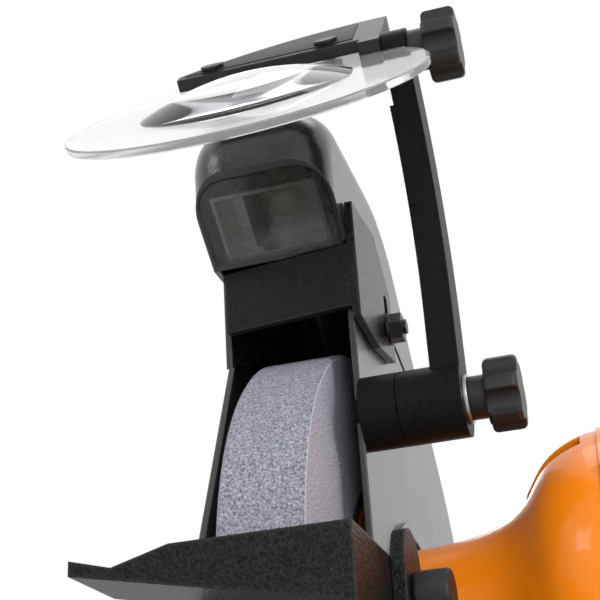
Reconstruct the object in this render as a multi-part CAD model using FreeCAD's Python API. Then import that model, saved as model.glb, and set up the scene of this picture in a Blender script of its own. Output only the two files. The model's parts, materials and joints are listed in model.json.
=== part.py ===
import FreeCAD, Part
import math
import os

os.makedirs("parts", exist_ok=True)
V = FreeCAD.Vector
X_AXIS = V(1, 0, 0)
Y_AXIS = V(0, 1, 0)
Z_AXIS = V(0, 0, 1)

# Bench grinder. X runs along the shaft, the operator stands at -Y, Z is up and the feet stand on Z = 0.
# Each wheel end is drawn round its own wheel centre, with x pointing inward to the motor, y back and z up.

# Layout
shaft_height = 122.0
wheel_spacing = 260.0

# Fits: gaps on the radius for round fits, on each face for flat ones
run_gap = 0.04
press_gap = 0.02
slide_gap = 0.1
turn_gap = 0.2
trim_gap = 0.15

# How far a cutter runs past the face it leaves, and one solid into the next it is joined to
over = 1.0

# Wheels, flanges and spindle
wheel_r = 75.0
wheel_w = 20.0
wheel_chamfer = 0.8
spindle_r = 6.35
spindle_end = 25.0
label_r = 40.0
label_t = 0.6
label_bore_gap = 1.5
flange_r = 25.0
flange_t = 2.6
flange_relief_r = 15.0
flange_relief = 0.9
flange_hub = 2.0
nut_flat = 19.0
nut_t = 9.0

# Shaft, rotor and bearings
journal_r = 7.5
core_r = 9.0
bearing_r = 17.5
bearing_w = 11.0
bearing_x = 28.0
race_w = 3.0
race_depth = 0.8
shaft_room = 1.0
air_gap = 0.6
stack_half = 30.0
end_ring_t = 6.0
end_ring_step = 2.0
end_ring_in = 6.0
fan_room = 3.0
fan_hub = 4.0
blade_root = 2.0
fan_x = 46.0
fan_w = 10.0
fan_blades = 8
fan_sheet = 1.6

# Motor housing
shell_r = 46.6
shell_wall = 2.6
neck_r = 22.5
bell_step = 0.6
bell_x = 70.0
bell_wall = 3.0
spigot_len = 6.0
bell_curve = [(0.0, 0.0), (0.23, 0.03), (0.42, 0.11), (0.54, 0.235),
              (0.635, 0.46), (0.73, 0.745), (0.846, 0.915), (1.0, 1.0)]
vent_w = 8.0
vent_x0 = 51.0
vent_x1 = 66.0
vent_angles = (60.0, 120.0, 240.0, 300.0)
coil_len = 13.0
coil_room = 3.0
coil_depth = 11.0
stator_depth = 17.0
coil_round = 3.0
shell_screw_r = 1.4
shell_screw_angles = (35.0, 145.0, 205.0, 335.0)
shell_head_r = 2.6
shell_head_t = 2.0
shell_head_sink = 0.8

# Guard shell with the lamp hood
guard_half = 18.0
guard_wall = 1.6
guard_r = 92.0
hood_r = 45.0
hood_y = -15.0
hood_top = 128.0
hood_front = -66.0
lip_r = 18.0
shoulder_r = 10.0
mouth_y = -45.0
lens_bottom = 91.0
lens_lean = 38.0
access_lap = 4.5
side_mouth_y = -38.0
boss_ring_r = 30.0
boss_ring_in = 26.0
boss_ring_t = 1.2
guard_screw_circle = 15.5
guard_screw_r = 2.0
guard_head_r = 3.6
guard_screw_count = 3
guard_screw_floor = 2.0
guard_screw_room = 1.0
slit_y = -8.0
slit_drop = 6.0
slit_ahead = 2.0
slit_behind = 30.0
slit_half = 1.0
slit_lean = 16.0

# Guard cover
cover_margin = 11.0
cover_t = 1.6
cover_front = -61.0
cover_top_y = -28.0
cover_top_z = 76.0
cover_low_y = -58.0
cover_low_z = 17.0
dome_r = 20.0
dome_depth = 10.0
cover_screw_inset = 2.1
cover_screw_tip = 2.0
cover_screw_r = 1.5
cover_screw_angles = (12.0, -95.0, 68.0)

# Lamp in the hood
lens_side = 1.2
lens_sill = 1.2
lens_rim = 2.0
lens_corner = 8.0
lens_t = 2.0
tray_depth = 9.5
tray_wall = 1.0
tray_side = 2.5
tray_lip = 5.0
bulb_r = 4.2
bulb_room = 0.6
bulb_x = 4.0
bulb_neck_r = 3.4
socket_r = 6.0
socket_len = 8.0
socket_floor = 1.0

# Spark arrestor
arrestor_t = 2.0
arrestor_low = 74.0
arrestor_top = 90.7
arrestor_left = 15.8
arrestor_skew = 7.0
arrestor_bolt_y = -15.0
arrestor_bolt_z = 80.0
arrestor_bolt_r = 2.0
arrestor_down = 8.0
arrestor_nut_flat = 7.0
arrestor_nut_t = 3.2
arrestor_head_t = 2.5
arrestor_washer_r = 4.4
arrestor_washer_t = 0.8
arrestor_bolt_end = 5.0
leg_front_drop = 3.0
leg_front_rise = 12.0
leg_peak_ahead = 8.0
leg_peak_rise = 14.0
leg_behind = 7.0
leg_back_rise = 2.0
leg_back_drop = 7.0
leg_low_ahead = 12.0
leg_low_drop = 4.0

# Shield boss, arm and knobs
arm_pivot_y = -41.5
arm_pivot_z = 47.0
tilt_pivot_y = -67.5
tilt_pivot_z = 129.0
boss_r = 9.0
boss_x = 27.0
boss_floor = 2.0
stud_room = 1.0
arm_x = 35.5
arm_t = 7.0
arm_w = 12.0
arm_straight = 22.0
eye_r = 6.0
eye_relief = 1.0
eye_relief_r = 12.5
stud_r = 3.0
tilt_stud_r = 2.5
washer_r = 6.0
washer_t = 0.9
hub_r = 5.2
hub_len = 4.0
knob_r = 8.8
knob_t = 8.0
knob_lobes = 6
knob_scallop_r = 3.4
knob_scallop_out = 1.36
knob_round = 1.2

# Shield disc and its clamp, drawn in the disc's own plane
disc_lean = 43.0
disc_r = 42.5
disc_t = 2.0
disc_x = 8.0
disc_drop = 33.0
disc_lift = 2.6
disc_notch_room = 1.0
magnifier_r = 25.0
magnifier_h = 5.0
clamp_left = -17.0
clamp_front = -0.5
clamp_deep = 19.0
clamp_t = 3.0
clamp_wedge = 7.0
clamp_nose = 0.17
clamp_bow_along = 0.4
clamp_bow_deep = 0.74
clamp_bore_floor = 0.5
clamp_block_x = 31.0
clamp_block_half = 6.0
clamp_screw_r = 1.5
clamp_head_t = 0.8
clamp_slot_w = 0.7
clamp_slot_floor = 0.4
clamp_nut_gap = 0.4
clamp_screw_xs = (-8.0, 22.0)
clamp_screw_s = 3.4

# Tool rest, its bracket, sliding nut and knob
rest_top = 5.8
rest_front = -99.8
rest_gap = 2.6
rest_left = -31.4
rest_right = 26.2
rest_left_low = 1.9
rest_right_low = -9.5
groove_x = -22.4
groove_half = 12.0
groove_depth = 3.2
rest_leg_t = 3.0
rest_pivot_y = -60.0
rest_pivot_z = -1.5
rest_out = 14.0
rest_in = 0.5
rest_leg_end = 4.0
slot_half = 3.5
nut_block_half = 4.0
nut_head_half = 6.0
nut_head_t = 3.0
lug_half = 8.5
lug_rise = 6.0
bracket_t = 3.0
bracket_shelf = -20.0
bracket_foot = 32.0
bracket_back = -25.0
bracket_set_back = 1.0
bracket_bolt_r = 2.0
bracket_bolt_shares = (0.3, 0.75)
bracket_bolt_flat = 7.0
bracket_head_t = 2.8
bracket_nut_t = 2.5
rest_hub_r = 5.2
rest_hub_len = 8.0
rest_hub_round = 0.8
lever_t = 4.0
lever_half = 3.6
lever_len = 17.0
lever_inset = 0.8
stud_short = 0.5

# Base, feet and switch
base_x = 95.0
base_y = 75.0
base_top = 24.0
base_wall = 5.0
base_corner = 22.0
base_round = 4.0
post_wall = 2.0
foot_h = 6.0
foot_r = 12.0
foot_taper = 1.0
foot_x = 75.0
foot_y = 55.0
bolt_hole_r = 4.5
plate_t = 2.0
plate_screw_r = 1.8
plate_screw_inset = 5.0
plate_screw_len = 7.0
plate_post_r = 5.0
pedestal_x = 62.0
pedestal_top_x = 56.0
pedestal_front = -50.0
pedestal_back = 52.0
pedestal_top_back = 44.0
saddle_drop = 26.0
saddle_bolt_x = 45.0
saddle_bolt_r = 2.5
saddle_head_t = 3.0
capacitor_r = 15.0
capacitor_h = 50.0
capacitor_y = 14.0
capacitor_round = 1.5
gland_z = 15.0
gland_r = 6.0
gland_bore = 3.5
gland_len = 14.0
gland_collar = 2.5
gland_collar_t = 3.0
gland_taper = 1.5
switch_z = 52.0
switch_half_x = 10.0
switch_half_z = 14.0
switch_rim = 4.0
switch_proud = 3.0
switch_deep = 16.0
switch_wall = 2.4
bezel_round = 1.5
rocker_gap = 0.5
rocker_pin_r = 1.6
rocker_pivot = 4.0
rocker_front = 9.0
rocker_rise = 3.0
rocker_back = 3.0
rocker_pin_room = 0.4

# Lengths that follow from the sizes above
half_span = wheel_spacing / 2
wheel_half = wheel_w / 2
shaft_step = wheel_half + label_t + flange_t
bearing_end = bearing_x + bearing_w
shell_half = half_span - bell_x
shell_in_r = shell_r - shell_wall
spigot_in_r = shell_in_r - bell_wall
bell_r = shell_r - bell_step
fan_r = spigot_in_r - fan_room
coil_r = shell_in_r - coil_room
coil_in_r = coil_r - coil_depth
rotor_r = shell_in_r - stator_depth - air_gap
pedestal_top = shaft_height - saddle_drop
guard_in = guard_half - guard_wall
cover_r = guard_r - cover_margin
cover_screw_circle = cover_r - cover_screw_inset
access_r = cover_r - access_lap
arm_out = arm_x + arm_t
clamp_right = arm_x + eye_relief - turn_gap
rest_rear = rest_gap + math.sqrt(wheel_r ** 2 - rest_top ** 2)
leg_x = rest_right - rest_leg_t
lug_x = rest_right + turn_gap
leg_slot_back = rest_pivot_y + nut_block_half + rest_out + slide_gap
leg_slot_front = rest_pivot_y - nut_block_half - rest_in - slide_gap


def cyl_x(r, x0, x1, y=0.0, z=0.0):
    return Part.makeCylinder(r, x1 - x0, V(x0, y, z), X_AXIS)


def ring_x(r_out, r_in, x0, x1, y=0.0, z=0.0):
    return cyl_x(r_out, x0, x1, y, z).cut(cyl_x(r_in, x0 - over, x1 + over, y, z))


def block(x0, x1, y0, y1, z0, z1):
    return Part.makeBox(x1 - x0, y1 - y0, z1 - z0, V(x0, y0, z0))


def post_z(r, x, y, z0, z1):
    return Part.makeCylinder(r, z1 - z0, V(x, y, z0), Z_AXIS)


def prism_x(points, x0, x1):
    corners = [V(x0, y, z) for y, z in points]
    return Part.Face(Part.makePolygon(corners + corners[:1])).extrude(V(x1 - x0, 0, 0))


def hex_x(flat, x0, x1, y=0.0, z=0.0):
    corner = flat / math.sqrt(3)
    turns = [math.radians(60 * k) for k in range(6)]
    return prism_x([(y + corner * math.cos(a), z + corner * math.sin(a)) for a in turns], x0, x1)


def join(shapes):
    whole = shapes[0]
    for extra in shapes[1:]:
        whole = whole.fuse(extra)
    return whole.removeSplitter()


def trim(shape, cutters):
    for cutter in cutters:
        shape = shape.cut(cutter)
    return shape.removeSplitter()


def left(shape):
    return shape.translated(V(-half_span, 0, shaft_height))


def right(shape):
    return shape.mirror(V(0, 0, 0), X_AXIS).translated(V(half_span, 0, shaft_height))


def on_axis(shape):
    return shape.translated(V(0, 0, shaft_height))


def save(name, *solids):
    shape = solids[0] if len(solids) == 1 else Part.makeCompound(list(solids))
    shape.exportStep("parts/" + name + ".step")


# Rotor

def make_shaft():
    core_end = half_span - bearing_end - turn_gap
    journal_end = half_span - shaft_step
    tip = half_span + spindle_end
    shaft = join([cyl_x(core_r, -core_end, core_end), cyl_x(journal_r, -journal_end, journal_end),
                  cyl_x(spindle_r, -tip, tip)])
    return on_axis(shaft)


def make_rotor_core():
    bore = core_r + press_gap
    reach = stack_half + end_ring_t
    core = join([ring_x(rotor_r, bore, -stack_half, stack_half),
                 ring_x(rotor_r - end_ring_step, core_r + end_ring_in, -reach, reach)])
    return on_axis(core)


def make_fan():
    bore = core_r + press_gap
    root = core_r + blade_root
    fan = [ring_x(core_r + fan_hub, bore, fan_x, fan_x + fan_w),
           ring_x(fan_r, root, fan_x, fan_x + fan_sheet)]
    for k in range(fan_blades):
        blade = block(fan_x, fan_x + fan_w, -fan_sheet / 2, fan_sheet / 2, root, fan_r)
        blade.rotate(V(0, 0, 0), X_AXIS, 360.0 * k / fan_blades)
        fan.append(blade)
    return on_axis(join(fan))


def make_wheel():
    wheel = cyl_x(wheel_r, -wheel_half, wheel_half)
    wheel = wheel.makeChamfer(wheel_chamfer, [e for e in wheel.Edges if len(e.Vertexes) == 1])
    return wheel.cut(cyl_x(spindle_r + run_gap, -wheel_half - over, wheel_half + over))


def make_labels():
    bore = spindle_r + label_bore_gap
    inner = ring_x(label_r, bore, wheel_half, wheel_half + label_t)
    outer = ring_x(label_r, bore, -wheel_half - label_t, -wheel_half)
    return [inner, outer]


def make_wheel_flanges():
    seat = wheel_half + label_t
    disc = ring_x(flange_r, spindle_r + press_gap, seat, seat + flange_t)
    disc = disc.cut(ring_x(flange_relief_r, spindle_r + flange_hub, seat - over, seat + flange_relief))
    return [disc, disc.mirror(V(0, 0, 0), X_AXIS)]


def make_wheel_nut():
    seat = -shaft_step
    bore = cyl_x(spindle_r + press_gap, seat - nut_t - over, seat + over)
    return hex_x(nut_flat, seat - nut_t, seat).cut(bore)


# Motor housing and what it holds

def bell_point(share_x, share_r, inset=0.0):
    x = guard_half + share_x * (bell_x - guard_half)
    return V(x, 0, neck_r + share_r * (bell_r - neck_r) - inset)


def solid_under(curve, first, last):
    """Solid of revolution between a curve and the shaft's axis."""
    foot, head = V(first.x, 0, 0), V(last.x, 0, 0)
    sides = [Part.makeLine(last, head), Part.makeLine(head, foot), Part.makeLine(foot, first)]
    return Part.Face(Part.Wire([curve.toShape()] + sides)).revolve(V(0, 0, 0), X_AXIS, 360)


def make_end_bell():
    outer = [bell_point(*share) for share in bell_curve]
    skin = Part.BSplineCurve()
    skin.interpolate(outer)
    first, last = outer[0], outer[-1]
    body = solid_under(skin, first, last)
    inner = [bell_point(*share, inset=bell_wall) for share in bell_curve[2:]]
    lining = Part.BSplineCurve()
    lining.interpolate(inner)
    start, end = inner[0], inner[-1]
    hollow = solid_under(lining, start, end)
    spigot = ring_x(shell_in_r - press_gap, spigot_in_r, bell_x - over, bell_x + spigot_len)
    body = trim(body, [hollow, cyl_x(bearing_r + press_gap, bearing_x, start.x + over),
                       cyl_x(journal_r + shaft_room, guard_half - over, bearing_x + over)])
    body = join([body, spigot])
    slots = []
    for angle in vent_angles:
        slot = block(vent_x0, vent_x1, neck_r, bell_r + over, -vent_w / 2, vent_w / 2)
        slot.rotate(V(0, 0, 0), X_AXIS, angle)
        slots.append(slot)
    floor = bearing_x - guard_screw_floor
    holes = [cyl_x(guard_screw_r + press_gap, guard_half - over, floor, y, z) for y, z in guard_screw_spots()]
    return trim(body, slots + holes + shell_screw_holes())


def radial(r, r0, r1, x, angle):
    stud = Part.makeCylinder(r, r1 - r0, V(x, r0, 0), Y_AXIS)
    stud.rotate(V(0, 0, 0), X_AXIS, angle)
    return stud


def shell_screw_holes():
    x = bell_x + spigot_len / 2
    r = shell_screw_r + press_gap
    return [radial(r, spigot_in_r - over, shell_r, x, a) for a in shell_screw_angles]


def make_shell_screws():
    x = bell_x + spigot_len / 2
    seat = shell_r - shell_head_sink
    screws = []
    for a in shell_screw_angles:
        head = radial(shell_head_r, seat, seat + shell_head_t, x, a)
        screws.append(join([radial(shell_screw_r, spigot_in_r, seat, x, a), head]))
    return screws


def make_motor_shell():
    shell = ring_x(shell_r, shell_in_r, -shell_half, shell_half)
    cutters = []
    for hole in shell_screw_holes():
        hole = hole.translated(V(-half_span, 0, 0))
        cutters += [hole, hole.mirror(V(0, 0, 0), X_AXIS)]
    screw_x = bell_x + spigot_len / 2 - half_span
    for a in shell_screw_angles:
        face = radial(shell_head_r + trim_gap, shell_r - shell_head_sink, shell_r + over, screw_x, a)
        cutters += [face, face.mirror(V(0, 0, 0), X_AXIS)]
    for x in (-saddle_bolt_x, saddle_bolt_x):
        cutters.append(radial(saddle_bolt_r + press_gap, shell_in_r - over, shell_r + over, x, -90))
    return on_axis(trim(shell, cutters))


def make_stator_core():
    return on_axis(ring_x(shell_in_r - press_gap, rotor_r + air_gap, -stack_half, stack_half))


def make_coils():
    coil = ring_x(coil_r, coil_in_r, stack_half, stack_half + coil_len)
    coil = coil.makeFillet(coil_round, [e for e in coil.Edges if len(e.Vertexes) == 1])
    return [on_axis(coil), on_axis(coil.mirror(V(0, 0, 0), X_AXIS))]


def make_bearing():
    body = ring_x(bearing_r, journal_r + run_gap, bearing_x, bearing_end)
    far, near = bearing_r - race_w, journal_r + race_w
    grooves = [ring_x(far, near, bearing_x - over, bearing_x + race_depth),
               ring_x(far, near, bearing_end - race_depth, bearing_end + over)]
    return trim(body, grooves)


def make_saddle_bolts():
    seat = -(shell_r + base_wall)
    bolts = []
    for x in (-saddle_bolt_x, saddle_bolt_x):
        head = post_z(2 * saddle_bolt_r, x, 0, seat - saddle_head_t, seat)
        shank = post_z(saddle_bolt_r, x, 0, seat, seat + base_wall + shell_wall)
        bolts.append(on_axis(join([head, shank])))
    return bolts


# Guard

def on_arc(x, centre, r, degrees):
    a = math.radians(degrees)
    return V(x, centre[0] + r * math.cos(a), centre[1] + r * math.sin(a))


def lip_centre():
    return hood_front + lip_r, hood_top - lip_r


def guard_blank(inset):
    """Closed outline of hood, back and a front that is cut off later, with rounded shoulders."""
    half = guard_half - inset
    hood_centre = (hood_y, hood_top - hood_r)
    fall = math.acos((guard_r - hood_r) / math.hypot(*hood_centre))
    slope = math.degrees(math.atan2(hood_centre[1], hood_y) - fall)
    heel_y = hood_front + lip_r
    heel_centre = (heel_y, -math.sqrt((guard_r - lip_r) ** 2 - heel_y ** 2))
    heel_angle = math.degrees(math.atan2(heel_centre[1], heel_y))

    def arc(centre, r, start, stop):
        ends = [on_arc(-half, centre, r - inset, a) for a in (start, (start + stop) / 2, stop)]
        return Part.Arc(*ends).toShape()

    lip = arc(lip_centre(), lip_r, 180, 90)
    hood = arc(hood_centre, hood_r, 90, slope)
    back = arc((0, 0), guard_r, slope, heel_angle)
    heel = arc(heel_centre, lip_r, heel_angle, -180)
    curves = [lip, hood, back, heel]
    rim = []
    for curve, following in zip(curves, curves[1:] + curves[:1]):
        rim.append(curve)
        end, start = curve.lastVertex(True).Point, following.firstVertex(True).Point
        if end.distanceToPoint(start) > 0.01:
            rim.append(Part.makeLine(end, start))
    body = Part.Face(Part.Wire(rim)).extrude(V(2 * half, 0, 0))
    rounds = [e for e in body.Edges if abs(abs(e.CenterOfMass.x) - half) < 0.01]
    return body.makeFillet(shoulder_r - inset, rounds)


def lens_run():
    return -math.cos(math.radians(lens_lean)), math.sin(math.radians(lens_lean))


def lens_length():
    """Way up the lens plane from the mouth's corner to the lip."""
    run_y, run_z = lens_run()
    centre_y, centre_z = lip_centre()
    gap_y, gap_z = mouth_y - centre_y, lens_bottom - centre_z
    half_b = gap_y * run_y + gap_z * run_z
    return math.sqrt(half_b ** 2 - gap_y ** 2 - gap_z ** 2 + lip_r ** 2) - half_b


def front_cut(inset, floor):
    """All that lies in front of the mouth and the lens plane, down to the floor."""
    run_y, run_z = lens_run()
    far = 4 * guard_r
    base = (mouth_y + inset * run_z, lens_bottom - inset * run_y)
    tip = (base[0] + far * run_y, base[1] + far * run_z)
    return prism_x([base, tip, (tip[0], floor), (mouth_y, floor)], -far, far)


def guard_outer():
    return guard_blank(0.0).cut(front_cut(0.0, -2 * guard_r))


def guard_cavity():
    return guard_blank(guard_wall).cut(front_cut(guard_wall, lens_bottom))


def guard_screw_spots():
    turns = [math.radians(90 + 360.0 * k / guard_screw_count) for k in range(guard_screw_count)]
    return [(guard_screw_circle * math.cos(a), guard_screw_circle * math.sin(a)) for a in turns]


def cover_screw_spots():
    turns = [math.radians(a) for a in cover_screw_angles]
    return [(cover_screw_circle * math.cos(a), cover_screw_circle * math.sin(a)) for a in turns]


def bracket_bolt_spots():
    y = (mouth_y + bracket_back) / 2
    return [(y, bracket_shelf - bracket_t - share * bracket_foot) for share in bracket_bolt_shares]


def make_guard_shell():
    shell = guard_outer().cut(guard_cavity())
    ring = ring_x(boss_ring_r, boss_ring_in, guard_in, guard_half + boss_ring_t)
    shell = join([shell, ring])

    def inner_hole(r, y=0.0, z=0.0):
        return cyl_x(r, guard_in - over, guard_half + over, y, z)

    outer_x0, outer_x1 = -guard_half - over, -guard_in + guard_wall / 3
    slit = block(guard_in - over, guard_half + over, -slit_ahead, slit_behind, -slit_half, slit_half)
    slit.rotate(V(0, 0, 0), X_AXIS, -slit_lean)
    cutters = [cyl_x(access_r, outer_x0, outer_x1), inner_hole(journal_r + shaft_room),
               lens_prism(0.0, -lens_t - guard_wall, lens_t),
               inner_hole(boss_r / 2, arm_pivot_y, arm_pivot_z),
               inner_hole(arrestor_bolt_r + press_gap, arrestor_bolt_y, arrestor_bolt_z),
               slit.translated(V(0, slit_y, guard_r - slit_drop)),
               block(outer_x0, outer_x1, mouth_y - over, side_mouth_y, -guard_r, lens_bottom)]
    cutters += [inner_hole(guard_screw_r + press_gap, y, z) for y, z in guard_screw_spots()]
    cutters += [inner_hole(bracket_bolt_r + press_gap, y, z) for y, z in bracket_bolt_spots()]
    hole_r = cover_screw_r + press_gap
    cutters += [cyl_x(hole_r, outer_x0, -guard_in + over, y, z) for y, z in cover_screw_spots()]
    return trim(shell, cutters)


def make_guard_cover():
    x0 = -guard_half - cover_t
    plate = cyl_x(cover_r, x0, -guard_half)
    run = (cover_low_y - cover_top_y) / (cover_low_z - cover_top_z)
    top_y = cover_top_y + run * (2 * cover_r - cover_top_z)
    knee_z = cover_low_z + (cover_front - cover_low_y) / run
    far = -2 * cover_r
    front = [(top_y, -far), (cover_front, knee_z), (cover_front, far), (far, far), (far, -far)]
    ahead = prism_x(front, x0 - over, -guard_half + over)
    dome = cyl_x(dome_r, x0 - dome_depth, x0)
    crown = min(dome.Edges, key=lambda e: e.CenterOfMass.x)
    dome = dome.makeFillet(dome_depth / 2, [crown])
    cover = join([plate.cut(ahead), dome])
    cutters = [cyl_x(dome_r - cover_t, x0 - dome_depth + cover_t, -guard_half + over)]
    hole_r = cover_screw_r + press_gap
    cutters += [cyl_x(hole_r, x0 - over, -guard_half + over, y, z) for y, z in cover_screw_spots()]
    return trim(cover, cutters)


def make_cover_screws():
    x0 = -guard_half - cover_t
    screws = []
    for y, z in cover_screw_spots():
        head = cyl_x(2 * cover_screw_r, x0 - cover_screw_r, x0, y, z)
        screws.append(join([head, cyl_x(cover_screw_r, x0, -guard_in + cover_screw_tip, y, z)]))
    return screws


def make_guard_screws():
    tip = bearing_x - guard_screw_floor - guard_screw_room
    screws = []
    for y, z in guard_screw_spots():
        head = cyl_x(guard_head_r, guard_in - guard_screw_r, guard_in, y, z)
        screws.append(join([head, cyl_x(guard_screw_r, guard_in, tip, y, z)]))
    return screws


# Lamp

def lens_place():
    return FreeCAD.Placement(V(0, mouth_y, lens_bottom), FreeCAD.Rotation(X_AXIS, 180 - lens_lean))


def lens_prism(inset, z0, z1):
    """Lens outline in its own plane, with the front corners rounded; z points out of the hood."""
    half = guard_half - lens_side - inset
    low, high = lens_sill + inset, lens_length() - lens_rim - inset
    body = Part.makeBox(2 * half, high - low, z1 - z0, V(-half, low, z0))
    far_edges = [e for e in body.Edges if abs(e.CenterOfMass.y - high) < 0.01]
    body = body.makeFillet(lens_corner, [e for e in far_edges if abs(abs(e.CenterOfMass.x) - half) < 0.01])
    body.Placement = lens_place()
    return body


def make_lens():
    return lens_prism(trim_gap, -guard_wall, lens_t - guard_wall)


def in_hood(shape):
    shape.Placement = lens_place()
    return shape


def bulb_spot():
    return lens_length() / 2


def make_tray():
    half = guard_in - tray_side
    low, high = lens_sill, lens_length() - lens_rim - tray_lip
    front = -guard_wall - trim_gap
    back = front - tray_depth
    tray = Part.makeBox(2 * half, high - low, front - back, V(-half, low, back))
    hollow = Part.makeBox(2 * (half - tray_wall), high - low - 2 * tray_wall, tray_depth,
                          V(-half + tray_wall, low + tray_wall, back + tray_wall))
    hole = post_z(bulb_neck_r + slide_gap, bulb_x, bulb_spot(), back - over, back + tray_wall + over)
    return in_hood(trim(tray, [hollow, hole]))


def make_bulb():
    back = -guard_wall - trim_gap - tray_depth
    middle = -guard_wall - trim_gap - bulb_r - bulb_room
    glass = Part.makeSphere(bulb_r, V(bulb_x, bulb_spot(), middle))
    neck_end = back - socket_len + socket_floor + trim_gap
    neck = post_z(bulb_neck_r, bulb_x, bulb_spot(), neck_end, middle)
    return in_hood(join([glass, neck]))


def make_socket():
    back = -guard_wall - trim_gap - tray_depth
    cup = post_z(socket_r, bulb_x, bulb_spot(), back - socket_len, back)
    bore = post_z(bulb_neck_r + slide_gap, bulb_x, bulb_spot(), back - socket_len + socket_floor, back + over)
    return in_hood(cup.cut(bore))


# Spark arrestor

def make_arrestor():
    front = mouth_y - turn_gap - arrestor_t
    back = mouth_y - turn_gap
    leg_in, leg_out = guard_half + turn_gap, guard_half + turn_gap + arrestor_t
    plate = block(-arrestor_left, leg_out, front, back, arrestor_low, arrestor_top)
    plate.rotate(V(guard_half, back, 0), Z_AXIS, -arrestor_skew)
    rear = arrestor_bolt_y + leg_behind
    leg = prism_x([(front, arrestor_low - leg_front_drop), (front, arrestor_top + leg_front_rise),
                   (arrestor_bolt_y - leg_peak_ahead, arrestor_top + leg_peak_rise),
                   (rear, arrestor_top + leg_back_rise), (rear, arrestor_bolt_z - leg_back_drop),
                   (arrestor_bolt_y - leg_low_ahead, arrestor_low - leg_low_drop)], leg_in, leg_out)
    half = arrestor_bolt_r + slide_gap
    low, high = arrestor_bolt_z, arrestor_bolt_z + arrestor_down
    x0, x1 = leg_in - over, leg_out + over
    slot = join([block(x0, x1, arrestor_bolt_y - half, arrestor_bolt_y + half, low, high),
                 cyl_x(half, x0, x1, arrestor_bolt_y, low), cyl_x(half, x0, x1, arrestor_bolt_y, high)])
    return join([plate, leg]).cut(slot)


def make_arrestor_bolt():
    y, z = arrestor_bolt_y, arrestor_bolt_z
    seat = guard_half + 2 * turn_gap + arrestor_t
    bolt = join([hex_x(arrestor_nut_flat, guard_in - arrestor_head_t, guard_in, y, z),
                 cyl_x(arrestor_bolt_r, guard_in, seat + arrestor_bolt_end, y, z)])
    bore = arrestor_bolt_r + press_gap
    nut_x = seat + arrestor_washer_t
    washer = ring_x(arrestor_washer_r, bore, seat, nut_x, y, z)
    nut = hex_x(arrestor_nut_flat, nut_x, nut_x + arrestor_nut_t, y, z)
    return [bolt, washer, nut.cut(cyl_x(bore, seat, nut_x + arrestor_nut_t + over, y, z))]


# Shield boss, arm, knobs, disc and clamp

def make_boss():
    boss = join([cyl_x(boss_r, guard_half, boss_x, arm_pivot_y, arm_pivot_z),
                 cyl_x(boss_r / 2 - press_gap, guard_in, guard_half, arm_pivot_y, arm_pivot_z)])
    return boss.cut(cyl_x(stud_r + run_gap, guard_half + boss_floor, boss_x + over, arm_pivot_y, arm_pivot_z))


def arm_band():
    """Curved bar of the arm: straight up from the lower pivot, then an arc that leans to the front."""
    bend_z = arm_pivot_z + arm_straight
    rise, lean = tilt_pivot_z - bend_z, arm_pivot_y - tilt_pivot_y
    bend_r = (rise ** 2 + lean ** 2) / (2 * lean)
    centre_y = arm_pivot_y - bend_r
    turn = math.atan2(rise, tilt_pivot_y - centre_y)

    def on_bend(r, angle):
        return V(arm_x, centre_y + r * math.cos(angle), bend_z + r * math.sin(angle))

    near, far = bend_r - arm_w / 2, bend_r + arm_w / 2
    low_near = V(arm_x, arm_pivot_y - arm_w / 2, arm_pivot_z)
    low_far = V(arm_x, arm_pivot_y + arm_w / 2, arm_pivot_z)
    wire = Part.Wire([Part.makeLine(low_near, on_bend(near, 0)),
                      Part.Arc(on_bend(near, 0), on_bend(near, turn / 2), on_bend(near, turn)).toShape(),
                      Part.makeLine(on_bend(near, turn), on_bend(far, turn)),
                      Part.Arc(on_bend(far, turn), on_bend(far, turn / 2), on_bend(far, 0)).toShape(),
                      Part.makeLine(on_bend(far, 0), low_far), Part.makeLine(low_far, low_near)])
    return Part.Face(wire).extrude(V(arm_t, 0, 0))


def make_arm():
    barrel = cyl_x(boss_r, boss_x + turn_gap, arm_out, arm_pivot_y, arm_pivot_z)
    eye = cyl_x(eye_r, arm_x, arm_out, tilt_pivot_y, tilt_pivot_z)
    relief = cyl_x(eye_relief_r, arm_x - over, arm_x + eye_relief, tilt_pivot_y, tilt_pivot_z)
    arm = join([barrel, arm_band(), eye])
    bores = [cyl_x(stud_r + run_gap, boss_x, arm_out + over, arm_pivot_y, arm_pivot_z),
             cyl_x(tilt_stud_r + run_gap, arm_x - over, arm_out + over, tilt_pivot_y, tilt_pivot_z)]
    return trim(arm, [relief] + bores)


def make_knob(stud_radius, stud_tip, seat, y, z):
    head_x = seat + hub_len
    head_end = head_x + knob_t
    head = cyl_x(knob_r, head_x, head_end, y, z)
    head = head.makeFillet(knob_round, [e for e in head.Edges if len(e.Vertexes) == 1])
    ring = knob_r + knob_scallop_out
    scallops = []
    for k in range(knob_lobes):
        a = 2 * math.pi * (k + 0.5) / knob_lobes
        middle = y + ring * math.cos(a), z + ring * math.sin(a)
        scallops.append(cyl_x(knob_scallop_r, head_x - over, head_end + over, *middle))
    head = trim(head, scallops)
    hub = cyl_x(hub_r, seat, head_x + over, y, z)
    return join([head, hub, cyl_x(stud_radius, stud_tip, seat + over, y, z)])


def make_arm_knob():
    seat = arm_out + washer_t + 2 * slide_gap
    return make_knob(stud_r, guard_half + boss_floor + stud_room, seat, arm_pivot_y, arm_pivot_z)


def make_arm_washer():
    start = arm_out + slide_gap
    return ring_x(washer_r, stud_r + run_gap, start, start + washer_t, arm_pivot_y, arm_pivot_z)


def make_tilt_knob():
    return make_knob(tilt_stud_r, clamp_block_x + clamp_bore_floor + stud_short, arm_out + turn_gap,
                     tilt_pivot_y, tilt_pivot_z)


def disc_place():
    """Disc plane: x as it is, y up the slope, z out of the face that the operator looks at."""
    return FreeCAD.Placement(V(0, tilt_pivot_y, tilt_pivot_z), FreeCAD.Rotation(X_AXIS, disc_lean))


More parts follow.
